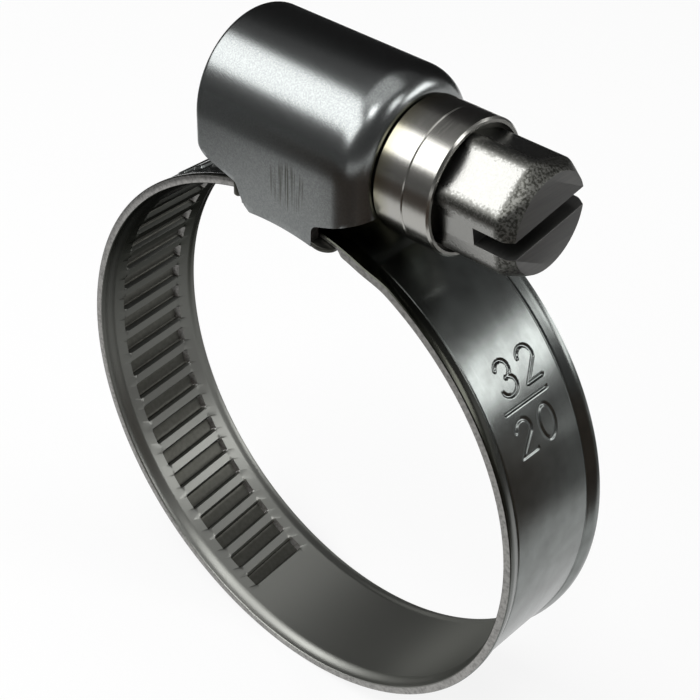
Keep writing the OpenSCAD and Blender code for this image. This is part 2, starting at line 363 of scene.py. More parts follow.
# %% Rough border of the hexagon's flats
# The grain makes the border uneven, so it is added to the distances before they are compared
side_uneven = 0.4 * mm
side_r = 3.66 * mm
side_blend = 0.14 * mm
end_uneven = 0.8 * mm
end_x = screw_box[1].x - 0.9 * mm
end_blend = 0.25 * mm
middle_share = 0.14
square_on = add(tree, "ShaderNodeMapping", {"Location": (0, 0, -screw_z), "Scale": (0, 1, 1)},
                {"Vector": place})
from_axis = add(tree, "ShaderNodeVectorMath", {"operation": "LENGTH"}, {0: square_on.outputs["Vector"]})
uneven_r = add(tree, "ShaderNodeMath", {"operation": "MULTIPLY_ADD", 1: side_uneven},
               {0: grains, 2: from_axis.outputs["Value"]})
side_border = add(tree, "ShaderNodeMapRange",
                  {"From Min": side_r, "From Max": side_r + side_blend, "To Min": middle_share},
                  {"Value": uneven_r.outputs["Value"]})
along = add(tree, "ShaderNodeSeparateXYZ", None, {"Vector": place})
uneven_x = add(tree, "ShaderNodeMath", {"operation": "MULTIPLY_ADD", 1: end_uneven},
               {0: grains, 2: along.outputs["X"]})
end_border = add(tree, "ShaderNodeMapRange", {"From Min": end_x, "From Max": end_x + end_blend},
                 {"Value": uneven_x.outputs["Value"]})
border = add(tree, "ShaderNodeMath", {"operation": "MAXIMUM"},
             {0: side_border.outputs["Result"], 1: end_border.outputs["Result"]}).outputs["Value"]
flat_tone = add(tree, "ShaderNodeMixRGB", {"Color1": linear("92928F")},
                {"Fac": border, "Color2": grain_tone.outputs["Color"]})
tree.links.new(flat_tone.outputs["Color"], surface.inputs["Base Color"])
flat_gloss = add(tree, "ShaderNodeMapRange", {"To Min": 0.22, "To Max": 0.46}, {"Value": border})
tree.links.new(flat_gloss.outputs["Result"], surface.inputs["Roughness"])
print("rough border from", round(end_x / mm, 2), "mm along the screw")

# %% Cut end
# Sawn steel is dull and grey, with faint marks along the cut
cut_end, tree, surface = start_metal("cut_end_steel", "646463", 0.42)
place = add(tree, "ShaderNodeTexCoord").outputs["Object"]
saw_spacing = 0.15 * mm
saw_length = 3 * mm
saw_scale = add(tree, "ShaderNodeMapping", {"Scale": (1 / saw_spacing, 1 / saw_length, 1 / saw_spacing)},
                {"Vector": place})
saw_marks = add(tree, "ShaderNodeTexNoise", {"Scale": 1.0, "Detail": 3.0},
                {"Vector": saw_scale.outputs["Vector"]})
saw_tone = add(tree, "ShaderNodeValToRGB", {"stops": [(0.3, "60605F"), (0.7, "686866")]},
               {"Fac": saw_marks.outputs["Fac"]})
tree.links.new(saw_tone.outputs["Color"], surface.inputs["Base Color"])

# %% [markdown]
# ## Band
#
# The strip is one piece of steel that bends as it closes round the hose. A curve with a bevel could draw
# the ring, but couldn't press anything into it. So each stretch is spun from one cross section, and then
# its points are moved in or out by a few functions: the rims flare outward, the teeth are pressed through,
# and the size mark is stamped in. The stretches meet at the middle of the CAD links, and each one reaches
# across one hinge.

# %% Slope of the rims
rim_lift = 0.25 * mm
rim_slope_w = 0.85 * mm
crease_half = 0.08 * mm
crease_depth = 0.03 * mm
# The share of the slope after which it levels off
level_from = 0.6


def ease(low, high, value):
    t = min(max((value - low) / (high - low), 0.0), 1.0)
    return t * t * (3 - 2 * t)


def rim_rise(across, outer):
    """How far the rims stand out. Outside, a crease starts a slope that levels off before the edge."""
    past = abs(across) - field_half
    if not outer:
        return rim_lift * ease(0, rim_slope_w, past)
    crease = crease_depth * max(0.0, 1 - (past / crease_half) ** 2)
    t = min(max(past / rim_slope_w, 0.0), 1.0)
    levelled = t - max(t - level_from, 0.0) ** 2 / (2 * (1 - level_from))
    return 2 * rim_lift / (1 + level_from) * levelled - crease


print("outside, the rims stand out", round(rim_rise(band_half, True) / mm, 2), "mm")

# %% Section of the strip
edge_round = 0.06 * mm
field_step = 0.9 * mm
rim_step = 0.1 * mm


def spaced(low, high, step):
    count = max(1, round(abs((high - low) / step)))
    return [low + (high - low) * i / count for i in range(count + 1)]


def half_to_full(nodes):
    return [-n for n in reversed(nodes) if n > 0] + nodes


def strip_section(inner_r, inner_nodes, outer_nodes):
    """Radius and place across the band of the section's points, in order round it."""
    outer_r = inner_r + band_t
    inner = [(inner_r, y) for y in inner_nodes]
    outer = [(outer_r, y) for y in reversed(outer_nodes)]
    far_edge = [(inner_r + edge_round, band_half), (outer_r - edge_round, band_half)]
    near_edge = [(outer_r - edge_round, -band_half), (inner_r + edge_round, -band_half)]
    return inner + far_edge + outer + near_edge


plain_half = spaced(0, field_half - 2 * crease_half, field_step)
plain_half += spaced(field_half - crease_half, field_half + crease_half, crease_half / 3)
plain_half += spaced(field_half + 2 * crease_half, band_half - 2 * edge_round, rim_step)
plain_half.append(band_half - edge_round)
plain_nodes = half_to_full(plain_half)
print("section points:", 2 * len(plain_nodes) + 4)


# %% Helpers that spin and bend a stretch
def closed_loop(bm, spots):
    points = [bm.verts.new(spot) for spot in spots]
    return points + [bm.edges.new((a, b)) for a, b in zip(points, points[1:] + points[:1])]


def close_ends(bm):
    bmesh.ops.holes_fill(bm, edges=[e for e in bm.edges if e.is_boundary], sides=0)
    bmesh.ops.recalc_face_normals(bm, faces=bm.faces)


def spin_strip(section, centre, start, end, steps):
    """A closed stretch of strip: the section spun about a line along Y through the centre."""
    bm = bmesh.new()
    spots = [centre + Vector((r * math.sin(start), y, r * math.cos(start))) for r, y in section]
    bmesh.ops.spin(bm, geom=closed_loop(bm, spots), cent=centre, axis=(0, 1, 0),
                   angle=end - start, steps=steps)
    close_ends(bm)
    return bm


def shape_strip(bm, centre, turn_from, middle_r, rise, shift=None):
    """Moves points out by rise(angle, across, outer), round by shift(angle, across), and maps the strip."""
    uv = bm.loops.layers.uv.new("strip")
    spots = {}
    for v in bm.verts:
        out = v.co - centre
        angle = turn_from + (math.atan2(out.x, out.z) - turn_from) % (2 * math.pi)
        r = math.hypot(out.x, out.z)
        across = v.co.y
        outer = r > middle_r
        spots[v] = (angle * hose_r, across)
        r += rise(angle, across, outer)
        angle += shift(angle, across) if shift else 0.0
        v.co = centre + Vector((r * math.sin(angle), across, r * math.cos(angle)))
    for face in bm.faces:
        for loop in face.loops:
            loop[uv].uv = spots[loop.vert]


# %% Helpers that finish a piece
edge_facing = 0.8


def make_piece(name, bm, finishes, body=None, nodes=(), sharp=35):
    mesh = bpy.data.meshes.new(name)
    bm.to_mesh(mesh)
    bm.free()
    mesh.shade_smooth()
    mesh.set_sharp_from_angle(angle=math.radians(sharp))
    for finish in finishes:
        mesh.materials.append(finish)
    piece = bpy.data.objects.new(name, mesh)
    bpy.context.scene.collection.objects.link(piece)
    if body:
        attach(piece, body)
    if nodes:
        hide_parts(*nodes)
    return piece


def strip_finish(bm, centre):
    """The slit edges of a strip take the second finish, and its inside the third."""
    for face in bm.faces:
        face.normal_update()
        middle = face.calc_center_median() - centre
        inside = face.normal.x * middle.x + face.normal.z * middle.z < 0
        face.material_index = 1 if abs(face.normal.y) > edge_facing else 2 if inside else 0


# %% [markdown]
# ### Size mark
#
# The hose range is stamped in the strip as plain numbers, one above the other with a bar between them, and
# the upper one sits a little to the right. The stamp went in less deep at the lower one. Figures cut with a
# Boolean would have sharp walls, but a stamp presses a round-bottomed groove. So each figure is a few
# strokes, arcs and lines, and a point of the strip sinks by how near it is to the nearest stroke. This
# needs a fine net of points, but only under the mark.

# %% Strokes of the size mark
figure_w = 1.4 * mm
figure_h = 2.2 * mm
figure_gap = 0.65 * mm
bar_w = 3.8 * mm
row_shift = 0.3 * mm
row_gap = 0.75 * mm


def arc(cx, cy, rx, ry, start, end, count=14):
    turns = [math.radians(start + (end - start) * i / count) for i in range(count + 1)]
    return [(cx + rx * math.cos(t), cy + ry * math.sin(t)) for t in turns]


# Each figure fits a box from 0 to 1 both ways and is a list of strokes
figures = {
    "0": [arc(0.5, 0.5, 0.46, 0.5, 0, 360, count=28)],
    "2": [arc(0.5, 0.7, 0.46, 0.3, 170, -25) + [(0.03, 0.0), (1.0, 0.0)]],
    "3": [arc(0.48, 0.745, 0.4, 0.255, 165, -90) + arc(0.48, 0.255, 0.48, 0.265, 85, -165)],
}


def set_row(text, base, shift=0.0):
    width = len(text) * figure_w + (len(text) - 1) * figure_gap
    for i, figure in enumerate(text):
        left = shift - width / 2 + i * (figure_w + figure_gap)
        for stroke in figures[figure]:
            yield [(left + x * figure_w, base + y * figure_h) for x, y in stroke]


mark_strokes = list(set_row("32", row_gap, row_shift)) + list(set_row("20", -row_gap - figure_h))
mark_strokes.append([(-bar_w / 2, 0.0), (bar_w / 2, 0.0)])
mark_segments = [pair for stroke in mark_strokes for pair in zip(stroke, stroke[1:])]
print("strokes:", len(mark_strokes), "segments:", len(mark_segments))

# %% Depth of the stamp
mark_angle = math.radians(55.6)
stroke_half = 0.14 * mm
stroke_depth = 0.1 * mm
lower_depth = 0.06 * mm
mark_reach = figure_h + row_gap + stroke_half
mark_half = figure_w + figure_gap / 2 + row_shift


def stroke_distance(x, y):
    nearest = math.inf
    for (ax, ay), (bx, by) in mark_segments:
        dx, dy = bx - ax, by - ay
        t = ((x - ax) * dx + (y - ay) * dy) / (dx * dx + dy * dy)
        t = min(max(t, 0.0), 1.0)
        nearest = min(nearest, math.hypot(ax + t * dx - x, ay + t * dy - y))
    return nearest


def stamp(angle, across):
    """How far the stamp pressed the strip in. The figures read along +Y, their tops towards the housing."""
    down = (angle - mark_angle) * (hose_r + band_t)
    if abs(down) > mark_reach or abs(across) > mark_half + stroke_half:
        return 0.0
    near = stroke_distance(across, -down) / stroke_half
    depth = lower_depth if down > row_gap / 2 else stroke_depth
    return depth * (1 - near * near) if near < 1 else 0.0


print("mark", round(2 * mark_half / mm, 2), "by", round(2 * mark_reach / mm, 2), "mm")

# %% [markdown]
# ### Plain stretches
#
# One mesh could hold the whole ring, but a blend turns a mesh between two bodies only, so each hinge gets a
# stretch of its own. The first one starts flat inside the housing, over the tongue of the saddle plate, and
# its rims grow once it is clear of the housing. The two stretches that carry the size mark get a fine net
# on their outside.

# %% Where the stretches lie
tongue_t = 0.3 * mm
tongue_end = math.radians(12.7)
tongue_step_from = tongue_end + math.radians(0.3)
tongue_step_to = tongue_end + math.radians(2)
end_lap = 0.07 * mm
rims_start = math.radians(18.5)
rims_full = math.radians(26)
coarse_step = math.radians(0.5)
fine_step = 0.045 * mm
fine_half = mark_half + 3 * stroke_half

hinge_angles = []
for name in bend_names:
    x, _, z = joints[name]["pos_m"]
    hinge_angles.append(math.atan2(x, z) % (2 * math.pi))
link_step = hinge_angles[1] - hinge_angles[0]
anchor_start = math.asin(plate_box[1].x / (hose_r + band_t))
beside_mark = [n for n in plain_half if n > fine_half + fine_step]
fine_outer = half_to_full(spaced(0, fine_half, fine_step) + beside_mark)


def plain_rise(angle, across, outer):
    rise = rim_rise(across, outer) * ease(rims_start, rims_full, angle)
    if outer:
        return rise - stamp(angle, across)
    return rise + tongue_t * (1 - ease(tongue_step_from, tongue_step_to, angle))


print("hinges", round(math.degrees(link_step), 1), "degrees apart")

# %% Make the plain stretches
origin = Vector((0, 0, 0))
plain_finishes = [rolled_strip, sheared_edge, oiled_strip]
for i, name in enumerate(bend_names):
    start = hinge_angles[i] - link_step / 2 if i else anchor_start
    end = hinge_angles[i] + link_step / 2
    if i == len(bend_names) - 1:
        end = hinge_angles[i] + link_step + end_lap / hose_r
    marked = start < mark_angle + mark_reach / hose_r and end > mark_angle - mark_reach / hose_r
    step = fine_step / hose_r if marked else coarse_step
    section = strip_section(hose_r, plain_nodes, fine_outer if marked else plain_nodes)
    bm = spin_strip(section, origin, start, end, math.ceil((end - start) / step))
    shape_strip(bm, origin, 0.0, hose_r + band_t / 2, plain_rise)
    strip_finish(bm, origin)
    run = make_piece(f"band_run_{i + 1:02d}", bm, plain_finishes)
    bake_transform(run)
    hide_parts(f"band_link_{i:02d}" if i else "band_anchor_end")
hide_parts(f"band_link_{len(bend_names):02d}")

# %% [markdown]
# ### Toothed end
#
# The teeth are pressed through the strip: a rib outside and a groove inside. They lie along the screw's
# helix, so they slant a little. The net of points is slanted with them, which keeps their flanks straight.

# %% Sizes of the teeth
tooth_step = math.radians(6)
tooth_half_w = 0.475 * mm
tooth_half_l = 2.55 * mm
tooth_h = 0.25 * mm
flank = 0.11 * mm
groove_depth = 0.4 * mm
groove_half_w = 0.55 * mm
toothed_start = math.radians(-168)
tail_end = math.radians(9)
first_tooth = -27
last_tooth = 1
toothed_centre = Vector((0, 0, toothed_z))
toothed_rise = 0.66 * mm
toothed_r = hose_r + toothed_rise - toothed_z
thread_r = 3.3 * mm
lead = tooth_step * (toothed_r + band_t + tooth_h / 2)
lead_slope = lead / (2 * math.pi * thread_r)
print("one turn of the screw feeds", round(lead / mm, 2), "mm")

# %% Press the teeth
# Where the even steps from the middle of a tooth to the middle of a gap go, as shares of half a tooth step
flank_shares = [0, 0.24, 0.43, 0.49, 0.55, 0.61, 0.68, 1]
rounding = 1e-6


def even_to_flank(angle):
    place_in = angle / tooth_step
    nearest = round(place_in)
    off = (place_in - nearest) * 2
    steps = abs(off) * (len(flank_shares) - 1)
    i = min(int(steps + rounding), len(flank_shares) - 2)
    share = flank_shares[i] + (flank_shares[i + 1] - flank_shares[i]) * (steps - i)
    return (nearest + math.copysign(share, off) / 2) * tooth_step


def tooth_rise(angle, across, outer):
    rise = rim_rise(across, outer)
    nearest = round(angle / tooth_step)
    if first_tooth <= nearest <= last_tooth:
        along = abs(angle - nearest * tooth_step) * toothed_r
        half_w = tooth_half_w if outer else groove_half_w
        width = 1 - ease(half_w - flank, half_w + flank, along)
        length = 1 - ease(tooth_half_l - flank, tooth_half_l + flank, abs(across))
        rise += (tooth_h if outer else groove_depth) * width * length
    return rise


def groove_finish(bm):
    """The bottoms of the grooves inside take the fourth finish, which is painted shade."""
    groove_r = toothed_r + groove_depth / 2
    for face in bm.faces:
        middle = face.calc_center_median() - toothed_centre
        in_groove = math.hypot(middle.x, middle.z) > groove_r and abs(middle.y) < tooth_half_l + flank
        if face.material_index == 2 and in_groove:
            face.material_index = 3


def tooth_slant(angle, across):
    inside = min(angle - toothed_start, tail_end - angle)
    fade = ease(0, tooth_step, inside) * (1 - ease(tooth_half_l + flank, field_half, abs(across)))
    return lead_slope * across / toothed_r * fade


# %% Make the toothed end
steps_per_tooth = 14
tooth_net = 1.1 * mm
toothed_half = spaced(0, tooth_half_l - 2 * flank, tooth_net)
toothed_half += [tooth_half_l - flank, tooth_half_l, tooth_half_l + flank]
toothed_half += [n for n in plain_half if n > tooth_half_l + 2 * flank]
toothed_nodes = half_to_full(toothed_half)
section = strip_section(toothed_r, toothed_nodes, toothed_nodes)
toothed_steps = round((tail_end - toothed_start) / tooth_step * steps_per_tooth)
bm = spin_strip(section, toothed_centre, toothed_start, tail_end, toothed_steps)
for v in bm.verts:
    out = v.co - toothed_centre
    r = math.hypot(out.x, out.z)
    angle = even_to_flank(math.atan2(out.x, out.z))
    v.co = toothed_centre + Vector((r * math.sin(angle), v.co.y, r * math.cos(angle)))
shape_strip(bm, toothed_centre, -math.pi, toothed_r + band_t / 2, tooth_rise, tooth_slant)
strip_finish(bm, toothed_centre)
groove_finish(bm)
toothed_end = make_piece("band_toothed_run", bm, plain_finishes + [oiled_groove],
                         "toothed_band", ["band_toothed_end"], sharp=50)
print("toothed end:", len(toothed_end.data.polygons), "faces")

# %% [markdown]
# ## Housing
#
# The shell is one piece of sheet, bent over the screw like a loaf tin: two walls, an arch, and a wall at
# each end. It could be hollowed out of a block, but bent sheet has the same thickness everywhere. So a flat
# grid is bent to that form, and a Solidify modifier gives it the thickness. Holes for the screw are cut
# through both ends, and all edges get a small bevel.

# %% Edges of the shell's sheet
shell_back = shell_box[0].x
shell_front = shell_box[1].x
shell_r = shell_box[1].y
window_drop = 3 * mm
window_z = screw_z - window_drop
back_rise = 0.75 * mm
front_rise = 0.8 * mm
notch_drop = 0.3 * mm
notch_r = 0.6 * mm
skirt_front = 2.8 * mm
# The skirt's back edge, as places along the screw and heights from the window, in millimetres
skirt_curve = ((-3.42, -0.15), (-2.95, -1.07), (-2.69, -1.44), (-2.32, -1.72))
corner_r = 1.1 * mm
tiny = 0.001 * mm


def chain(x, points):
    """Height of a chain of straight lines at x."""
    for (ax, az), (bx, bz) in zip(points, points[1:]):
        if x <= bx:
            return az + (bz - az) * (x - ax) / (bx - ax)
    return points[-1][1]


def lower_edge(x):
    """Height of the walls' lower edge: raised at both ends, and down on the hose between them."""
    hose = math.sqrt(hose_r ** 2 - x ** 2)
    corner_z = window_z - notch_drop
    if x > skirt_front + notch_r:
        slope = (notch_drop + front_rise) / (shell_front - skirt_front - notch_r)
        return corner_z + slope * (x - skirt_front - notch_r)
    if x > skirt_front + tiny:
        return corner_z - notch_r + math.sqrt(notch_r ** 2 - (skirt_front + notch_r - x) ** 2)
    relief = [(shell_back, window_z + back_rise)] + [(a * mm, window_z + b * mm) for a, b in skirt_curve]
    return max(hose, chain(x, relief)) if x < relief[-1][0] else hose


def corner_lift(row):
    """How far the round corner at the lower back lifts the sheet's edge, on the wall and on the end."""
    inward, x = row
    off = max(x - shell_back, inward)
    if off > corner_r or x > 0:
        return 0.0
    return corner_r - math.sqrt(corner_r ** 2 - (corner_r - off) ** 2)


print("wall", round((screw_z - lower_edge(0)) / mm, 2), "mm high below the screw's axis")

# %% Rows along the sheet
# Each row is a distance in from the outside and a place along the screw
shoulder_r = 1.5 * mm
shoulder_len = 1.9 * mm
fold_r = 0.35 * mm
end_margin = 2 * mm
fold_margin = 0.1 * mm
curve_margin = 0.18 * mm
wide_margin = 0.3 * mm
wide_step = 0.35 * mm
bend_step = 0.15 * mm
skirt_step = 0.12 * mm
curve_from = skirt_curve[0][0] * mm
curve_to = -2.2 * mm
# The notch is round, so its rows start close together, in millimetres from the skirt
notch_rows = (0.004, 0.03, 0.09, 0.18, 0.3, 0.45)
rows = [(shell_r, shell_back), (shell_r - end_margin, shell_back)]
rows += [(inward, shell_back) for inward in spaced(corner_r, fold_r + bend_step, bend_step)]
rows += [(fold_r * (1 - math.sin(t)), shell_back + fold_r * (1 - math.cos(t)))
         for t in spaced(0, math.pi / 2, math.pi / 16)]
rows += [(0.0, x) for x in spaced(shell_back + fold_r + fold_margin, shell_back + corner_r, bend_step)]
rows += [(0.0, x) for x in spaced(shell_back + corner_r + wide_margin, curve_from - curve_margin,
                                  wide_step)]
rows += [(0.0, x) for x in spaced(curve_from, curve_to, skirt_step)]
rows += [(0.0, x) for x in spaced(curve_to + wide_margin, skirt_front, wide_step)]
rows += [(0.0, skirt_front + off * mm) for off in notch_rows]
rows += [(shoulder_r * (1 - math.cos(t)), shell_front - shoulder_len + shoulder_len * math.sin(t))
         for t in spaced(0, math.pi / 2, math.pi / 24)]
rows += [(shell_r - end_margin, shell_front), (shell_r, shell_front)]
print("rows:", len(rows))

# %% Bend the sheet
leg_count = 10
arch_count = 48


def outline_point(row, j):
    """Point j of a row: up the front wall, over the arch, and down the back wall."""
    inward, x = row
    r = shell_r - inward
    if leg_count <= j <= leg_count + arch_count:
        t = math.pi * (j - leg_count) / arch_count
        return Vector((x, -r * math.cos(t), screw_z + r * math.sin(t)))
    side = -1 if j < leg_count else 1
    share = j / leg_count if j < leg_count else (2 * leg_count + arch_count - j) / leg_count
    low = lower_edge(x) + corner_lift(row)
    return Vector((x, side * r, low + (screw_z - low) * share))


bm = bmesh.new()
last_row = len(rows) - 1
last_point = 2 * leg_count + arch_count
bmesh.ops.create_grid(bm, x_segments=last_row, y_segments=last_point, size=1)
for v in bm.verts:
    i = round((v.co.x + 1) / 2 * last_row)
    j = round((v.co.y + 1) / 2 * last_point)
    v.co = outline_point(rows[i], j)
bmesh.ops.remove_doubles(bm, verts=bm.verts, dist=tiny)
bm.faces.ensure_lookup_table()
top = max(bm.faces, key=lambda f: f.calc_center_median().z)
top.normal_update()
if top.normal.z < 0:
    bmesh.ops.reverse_faces(bm, faces=bm.faces)
shell = make_piece("housing_cover", bm, [pressed_sheet, sheared_edge], sharp=40)
print("sheet:", len(shell.data.polygons), "faces")


# %% Helpers for solid pieces
def spin_profile(profile, steps=96):
    """A closed round solid: a profile of radius and place along X, spun about the screw's axis."""
    bm = bmesh.new()
    points = [bm.verts.new((x, 0, screw_z + r)) for r, x in profile]
    lines = [bm.edges.new(pair) for pair in zip(points, points[1:])]
    bmesh.ops.spin(bm, geom=points + lines, cent=(0, 0, screw_z), axis=(1, 0, 0), angle=2 * math.pi,
                   steps=steps, use_merge=True)
    bmesh.ops.remove_doubles(bm, verts=bm.verts, dist=tiny)
    bmesh.ops.recalc_face_normals(bm, faces=bm.faces)
    return bm


def settle(piece):
    """Applies a piece's modifiers to its mesh."""
    finished = bpy.data.meshes.new_from_object(piece.evaluated_get(bpy.context.evaluated_depsgraph_get()))
    piece.modifiers.clear()
    piece.data = finished
    piece.data.shade_smooth()


def cut(piece, cutter):
    boolean = piece.modifiers.new("cut", "BOOLEAN")
    boolean.object = cutter
    boolean.operation = "DIFFERENCE"
    boolean.solver = "EXACT"
    settle(piece)
    bpy.data.objects.remove(cutter)


def soften(piece, width, angle=40):
    bevel = piece.modifiers.new("soften", "BEVEL")
    bevel.width = width
    bevel.segments = 3
    bevel.limit_method = "ANGLE"
    bevel.angle_limit = math.radians(angle)
    bevel.profile = 0.5
    bevel.material = -1
    settle(piece)
    piece.data.set_sharp_from_angle(angle=math.radians(angle))


# %% Give the sheet thickness, cut the screw's holes and soften the edges
shell_t = 0.65 * mm
neck_hole = 1.85 * mm
tip_hole = 1.65 * mm
drill_half = 1 * mm
shell_soft = 0.1 * mm
thicken = shell.modifiers.new("thicken", "SOLIDIFY")
thicken.thickness = shell_t
thicken.offset = -1
thicken.use_even_offset = True
thicken.material_offset_rim = 1
settle(shell)
for r, x in ((neck_hole, shell_front), (tip_hole, shell_back)):
    low, high = x - drill_half, x + drill_half
    bm = spin_profile([(0, low), (r, low), (r, high), (0, high)])
    cut(shell, make_piece("drill", bm, []))
soften(shell, shell_soft)
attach(shell, "housing")
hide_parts("housing_shell")
print("shell:", len(shell.data.polygons), "faces")

# %% [markdown]
# ### Saddle plate
#
# A curved plate under the band ties the walls together. Its front end is a thinner tongue, which the band's
# held end lies on. The tongue widens in front of the walls to a lip with round corners. At the back a small
# tab on each side stands up behind the wall. Plate and tongue are spun like the band, because they follow
# the same curve, and points are moved sideways for the lip.

# %% Make the saddle plate
plate_start = -math.asin(-plate_box[0].x / (hose_r + band_t))
side_gap = 0.02 * mm
plate_side = plate_half - side_gap
plate_net = 0.5 * mm
plate_soft = 0.05 * mm
lip_side = shell_r - side_gap
lip_under = 0.3 * mm
lip_start = math.asin((skirt_front - lip_under) / hose_r)
lip_corner = 0.95 * mm
tongue_lap = 0.36 * mm
tongue_steps = 60


def plate_piece(thickness, start, end, steps=24):
    nodes = half_to_full(spaced(0, plate_side, plate_net))
    section = [(hose_r, y) for y in nodes] + [(hose_r + thickness, y) for y in reversed(nodes)]
    return spin_strip(section, origin, start, end, steps)


def lip_half(angle):
    """Half width of the tongue: what fits between the walls, and wider in front, with a round corner."""
    if angle < lip_start:
        return plate_side
    left = (tongue_end - angle) * hose_r
    if left >= lip_corner:
        return lip_side
    return lip_side - lip_corner + math.sqrt(max(lip_corner ** 2 - (lip_corner - left) ** 2, 0.0))


plate = make_piece("saddle_plate_curve", plate_piece(band_t, plate_start, anchor_start), [pressed_sheet])
soften(plate, plate_soft)
bm = plate_piece(tongue_t, anchor_start - tongue_lap / hose_r, tongue_end, tongue_steps)
for v in bm.verts:
    v.co.y *= lip_half(math.atan2(v.co.x, v.co.z)) / plate_side
# The tongue takes the dark painted shade of the grooves
tongue = make_piece("saddle_tongue", bm, [oiled_groove])
soften(tongue, plate_soft)
pieces = [plate, tongue]
print("tongue", round(2 * lip_half(lip_start) / mm, 2), "mm wide at its lip")

# %% Add the tabs behind the walls
tab_w = 0.5 * mm
tab_h = 1.0 * mm
tab_t = 0.55 * mm
tab_gap = 0.05 * mm
tab_rise = 0.4 * mm
tab_round = 0.2 * mm
tab_x = plate_box[0].x + tab_w / 2
for side, name in ((-1, "saddle_tab_near"), (1, "saddle_tab_far")):
    bm = bmesh.new()
    tab_y = side * (plate_half + tab_t / 2 + tab_gap)
    tab_place = Matrix.Translation((tab_x, tab_y, hose_r + tab_h / 2 + tab_rise))
    bmesh.ops.create_cube(bm, size=1, matrix=tab_place @ Matrix.Diagonal((tab_w, tab_t, tab_h, 1)))
    # The tabs take the dark painted shade of the grooves
    tab = make_piece(name, bm, [oiled_groove])
    soften(tab, tab_round)
    pieces.append(tab)
for piece in pieces:
    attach(piece, "housing")
    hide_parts("saddle_plate")
print("plate:", sum(len(piece.data.polygons) for piece in pieces), "faces")

# %% [markdown]
# ## Screw
#
# The screw is one turned and forged part. Its round lengths are a profile spun about its axis, the thread
# is a small section spun along it, and the head is a hexagon cut by a cone at its end, with a slot for a
# driver. One mesh could hold all three, but each shape needs its own net of points, so they stay apart and
# ride together.

# %% Turn the round lengths
end_play = 0.1 * mm
worm_back = shell_back + shell_t + end_play
worm_front = shell_front - shell_t - end_play
collar_x = shell_front + end_play
collar_r = 4.1 * mm
collar_len = 4 * mm
hex_x = collar_x + collar_len
root_r = 2.75 * mm
neck_r = 1.8 * mm
tip_r = 1.6 * mm
turned_round = 0.12 * mm
recess_wall = 0.3 * mm
recess_r = collar_r - recess_wall
recess_d = 0.5 * mm
recess_x = hex_x - recess_d
score_x = 8.45 * mm
score_w = 0.07 * mm
score_d = 0.04 * mm

profile = [
    (0, shell_back), (tip_r - turned_round, shell_back), (tip_r, shell_back + turned_round),
    (tip_r, worm_back), (root_r, worm_back), (root_r, worm_front), (neck_r, worm_front), (neck_r, collar_x),
    (collar_r - turned_round, collar_x), (collar_r, collar_x + turned_round),
    (collar_r, score_x - score_w), (collar_r - score_d, score_x),
    (collar_r, score_x + score_w), (collar_r, hex_x - turned_round), (collar_r - turned_round, hex_x),
    (recess_r, hex_x), (recess_r, recess_x), (0, recess_x),
]
bm = spin_profile(profile, steps=128)
# The recess in the collar's end takes the dark painted shade of the grooves
for face in bm.faces:
    middle = face.calc_center_median()
    off_axis = math.hypot(middle.y, middle.z - screw_z)
    face.material_index = 1 if middle.x > recess_x - tiny and off_axis < recess_r else 0
shank = make_piece("screw_shank", bm, [turned_steel, oiled_groove],
                   "screw", ["worm_screw"], sharp=25)
print("shank:", len(shank.data.polygons), "faces")

# %% Sweep the thread
crest_half = 0.2 * mm
flank_half = 0.375 * mm
thread_sink = 0.2 * mm
thread_foot_r = root_r - thread_sink
thread_turns = 4.5
first_turn = -2.5
thread_x = first_turn * lead
steps_per_turn = 48
bm = bmesh.new()
section = [(thread_foot_r, -flank_half), (root_r, -flank_half), (thread_r, -crest_half),
           (thread_r, crest_half), (root_r, flank_half), (thread_foot_r, flank_half)]
spots = [(thread_x + along, 0, screw_z - r) for r, along in section]
bmesh.ops.spin(bm, geom=closed_loop(bm, spots), cent=(0, 0, screw_z), axis=(1, 0, 0),
               dvec=(lead / steps_per_turn, 0, 0), angle=thread_turns * 2 * math.pi,
               steps=round(thread_turns * steps_per_turn))
close_ends(bm)
thread = make_piece("screw_thread", bm, [turned_steel], "screw", ["worm_screw"], sharp=25)
print("thread from", round(min(v.co.x for v in thread.data.vertices) / mm, 2), "to",
      round(max(v.co.x for v in thread.data.vertices) / mm, 2), "mm")

# %% Outline of the head
head_x = screw_box[1].x
hex_af = 6.5 * mm
flats_angle = math.radians(33)
corner_round = 0.9 * mm
end_r = 3.0 * mm
cone_slope = 0.62
blend_r = 0.12 * mm


def hexagon_r(angle):
    """Radius of a hexagon with round corners, by angle from the middle of a flat."""
    sixth = math.pi / 3
    off = abs((angle + sixth / 2) % sixth - sixth / 2)
    inner = hex_af / 2 - corner_round
    if math.tan(off) * hex_af / 2 <= inner * math.tan(sixth / 2):
        return hex_af / 2 / math.cos(off)
    centre = inner / math.cos(sixth / 2)
    turn = sixth / 2 - off
    return centre * math.cos(turn) + math.sqrt(corner_round ** 2 - (centre * math.sin(turn)) ** 2)


def softer(a, b):
    """The lesser of two lengths, rounded over where they are close."""
    near = max(blend_r - abs(a - b), 0.0) / blend_r
    return min(a, b) - near * near * blend_r / 4


def place_ring(ring, x):
    """Moves a ring of points to its place along the screw, each out to the hexagon or the cone."""
    cone_r = end_r + (head_x - x) * cone_slope
    for v in ring:
        angle = math.atan2(-v.co.y, v.co.z)
        r = softer(hexagon_r(angle - flats_angle), cone_r)
        v.co = (x, -r * math.sin(angle), r * math.cos(angle))


print("head", round(2 * hexagon_r(0) / mm, 2), "mm across its flats")

